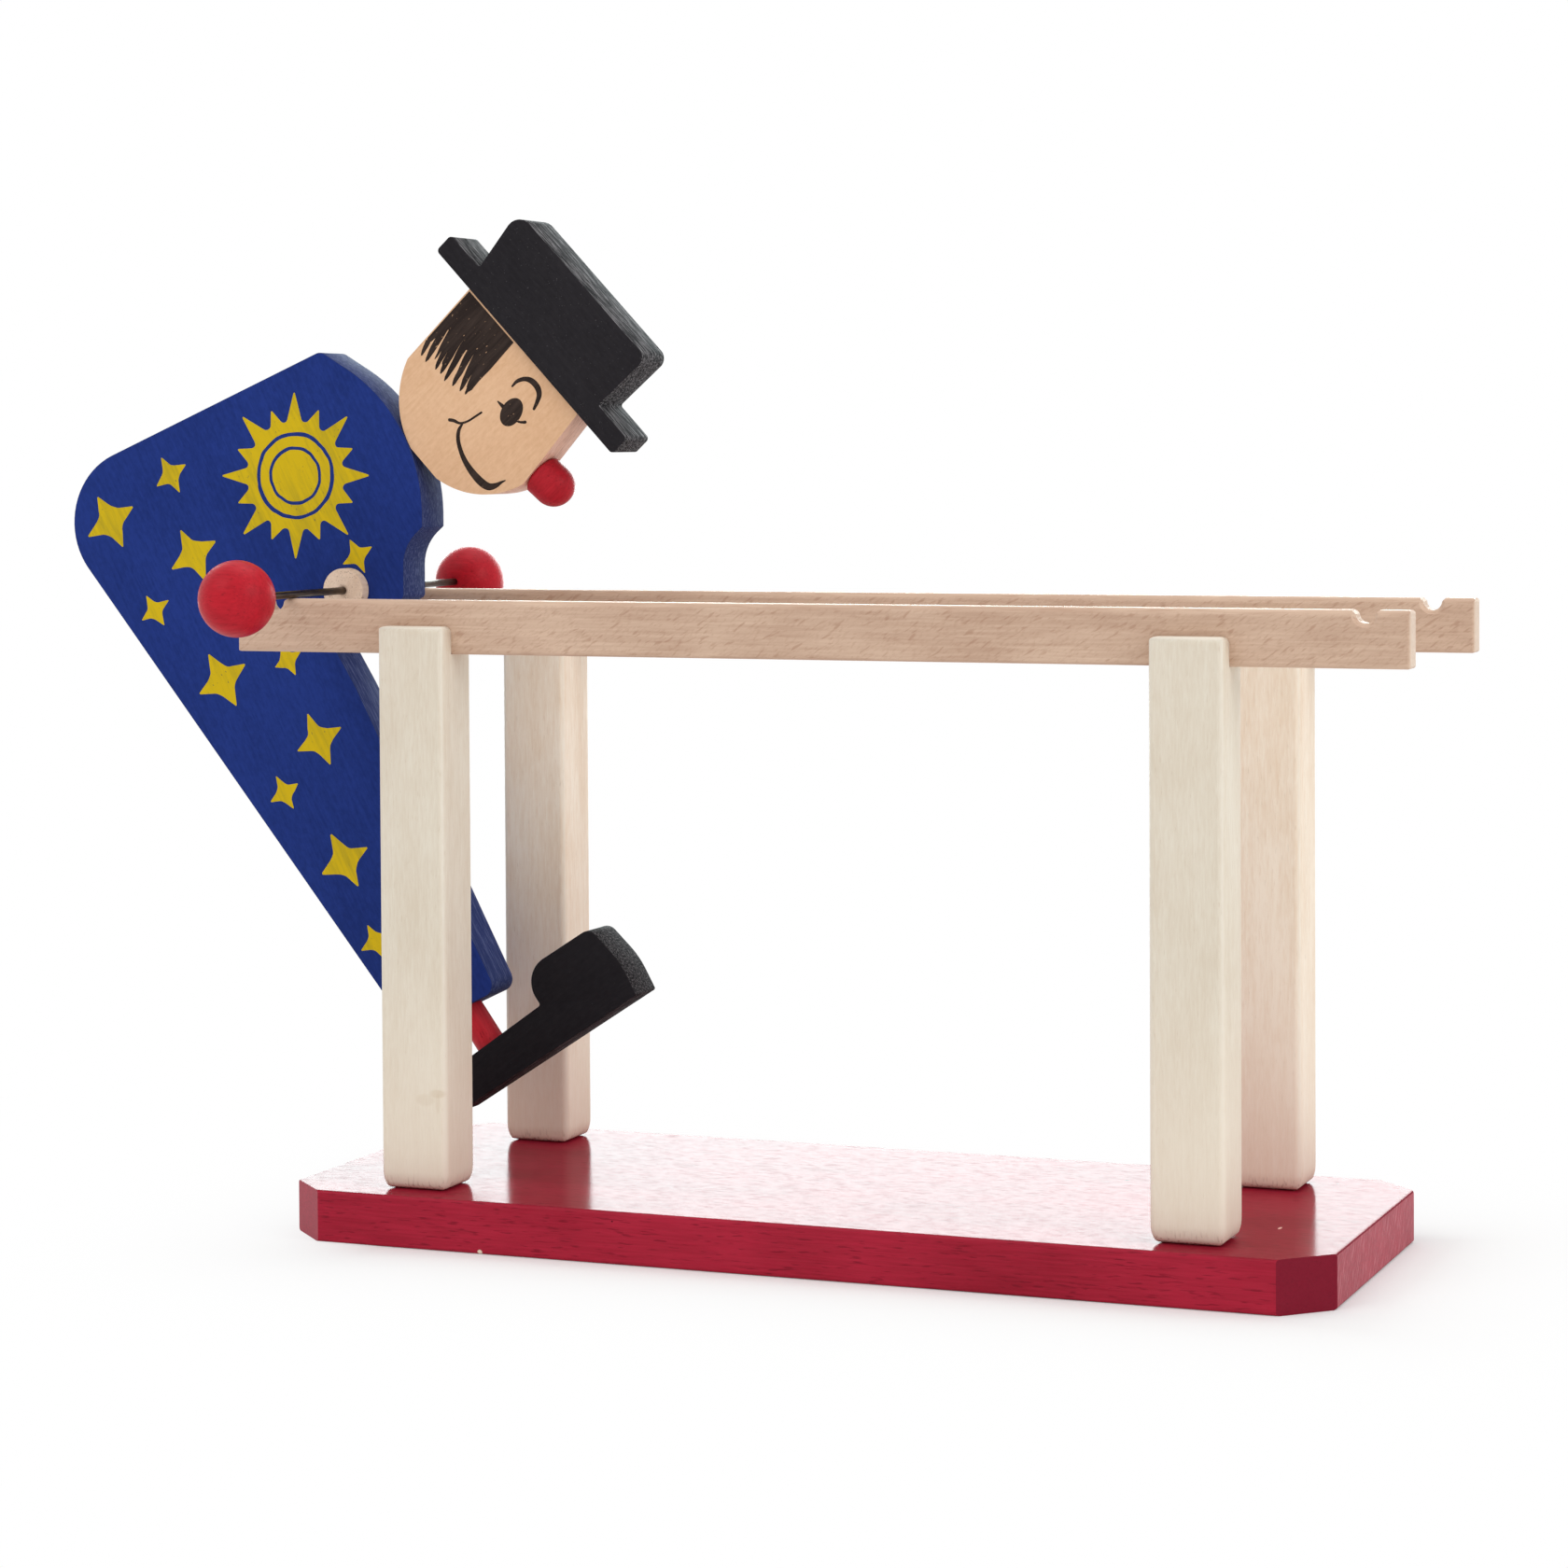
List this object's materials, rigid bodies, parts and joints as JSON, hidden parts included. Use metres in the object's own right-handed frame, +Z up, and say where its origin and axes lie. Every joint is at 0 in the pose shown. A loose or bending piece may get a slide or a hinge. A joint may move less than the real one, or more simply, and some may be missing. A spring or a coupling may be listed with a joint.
{
  "type": "wooden acrobat toy",
  "caption": "Wooden tumbling clown on a thin steel axle with ball ends, which somersaults along parallel bars held by posts on a flat base board.",
  "frame": {"origin": "centre of the base board's underside, where the toy rests", "axes": "+X along the bars, away from the end where the clown waits; the front is at -Y and +Z is up"},
  "size_m": [0.3861, 0.156, 0.2675],
  "materials": {
    "red_lacquered_base": "glossy red lacquer on beech",
    "pale_maple": "bare pale maple, sanded",
    "natural_beech": "bare beech, sanded",
    "red_lacquer": "glossy red lacquer",
    "blue_paint": "matt blue stain with a yellow print",
    "skin_stain": "clear lacquer on pale beech with a printed face",
    "black_paint": "matt black stain, the grain showing at the edges",
    "dark_steel": "drawn steel wire",
    "zinc_steel": "zinc-plated steel"
  },
  "bodies": {
    "stand": {"base_board": "red_lacquered_base", "front_left_post": "pale_maple", "front_right_post": "pale_maple", "back_left_post": "pale_maple", "back_right_post": "pale_maple", "post_screws": "zinc_steel", "front_bar": "natural_beech", "back_bar": "natural_beech"},
    "axle": {"axle_rod": "dark_steel", "front_ball": "red_lacquer", "back_ball": "red_lacquer"},
    "acrobat": {"axle_bush": "natural_beech", "body_board": "blue_paint", "neck_dowel": "natural_beech", "head": "skin_stain", "nose": "red_lacquer", "hat": "black_paint", "hat_dowel": "natural_beech", "leg_dowel": "red_lacquer", "shoe": "black_paint"}
  },
  "joints": [
    {"name": "travel", "type": "slide", "parent": "stand", "child": "axle", "axis": [1, 0, 0], "range_m": [-0.0032, 0.2892]},
    {"name": "somersault", "type": "hinge", "parent": "axle", "child": "acrobat", "pos_m": [-0.1423, 0, 0.16825], "axis": [0, 1, 0], "range_deg": [-180, 16560]}
  ],
  "couplings": [
    {"joint": "travel", "follows": "somersault", "m_per_rad": 0.001}
  ]
}
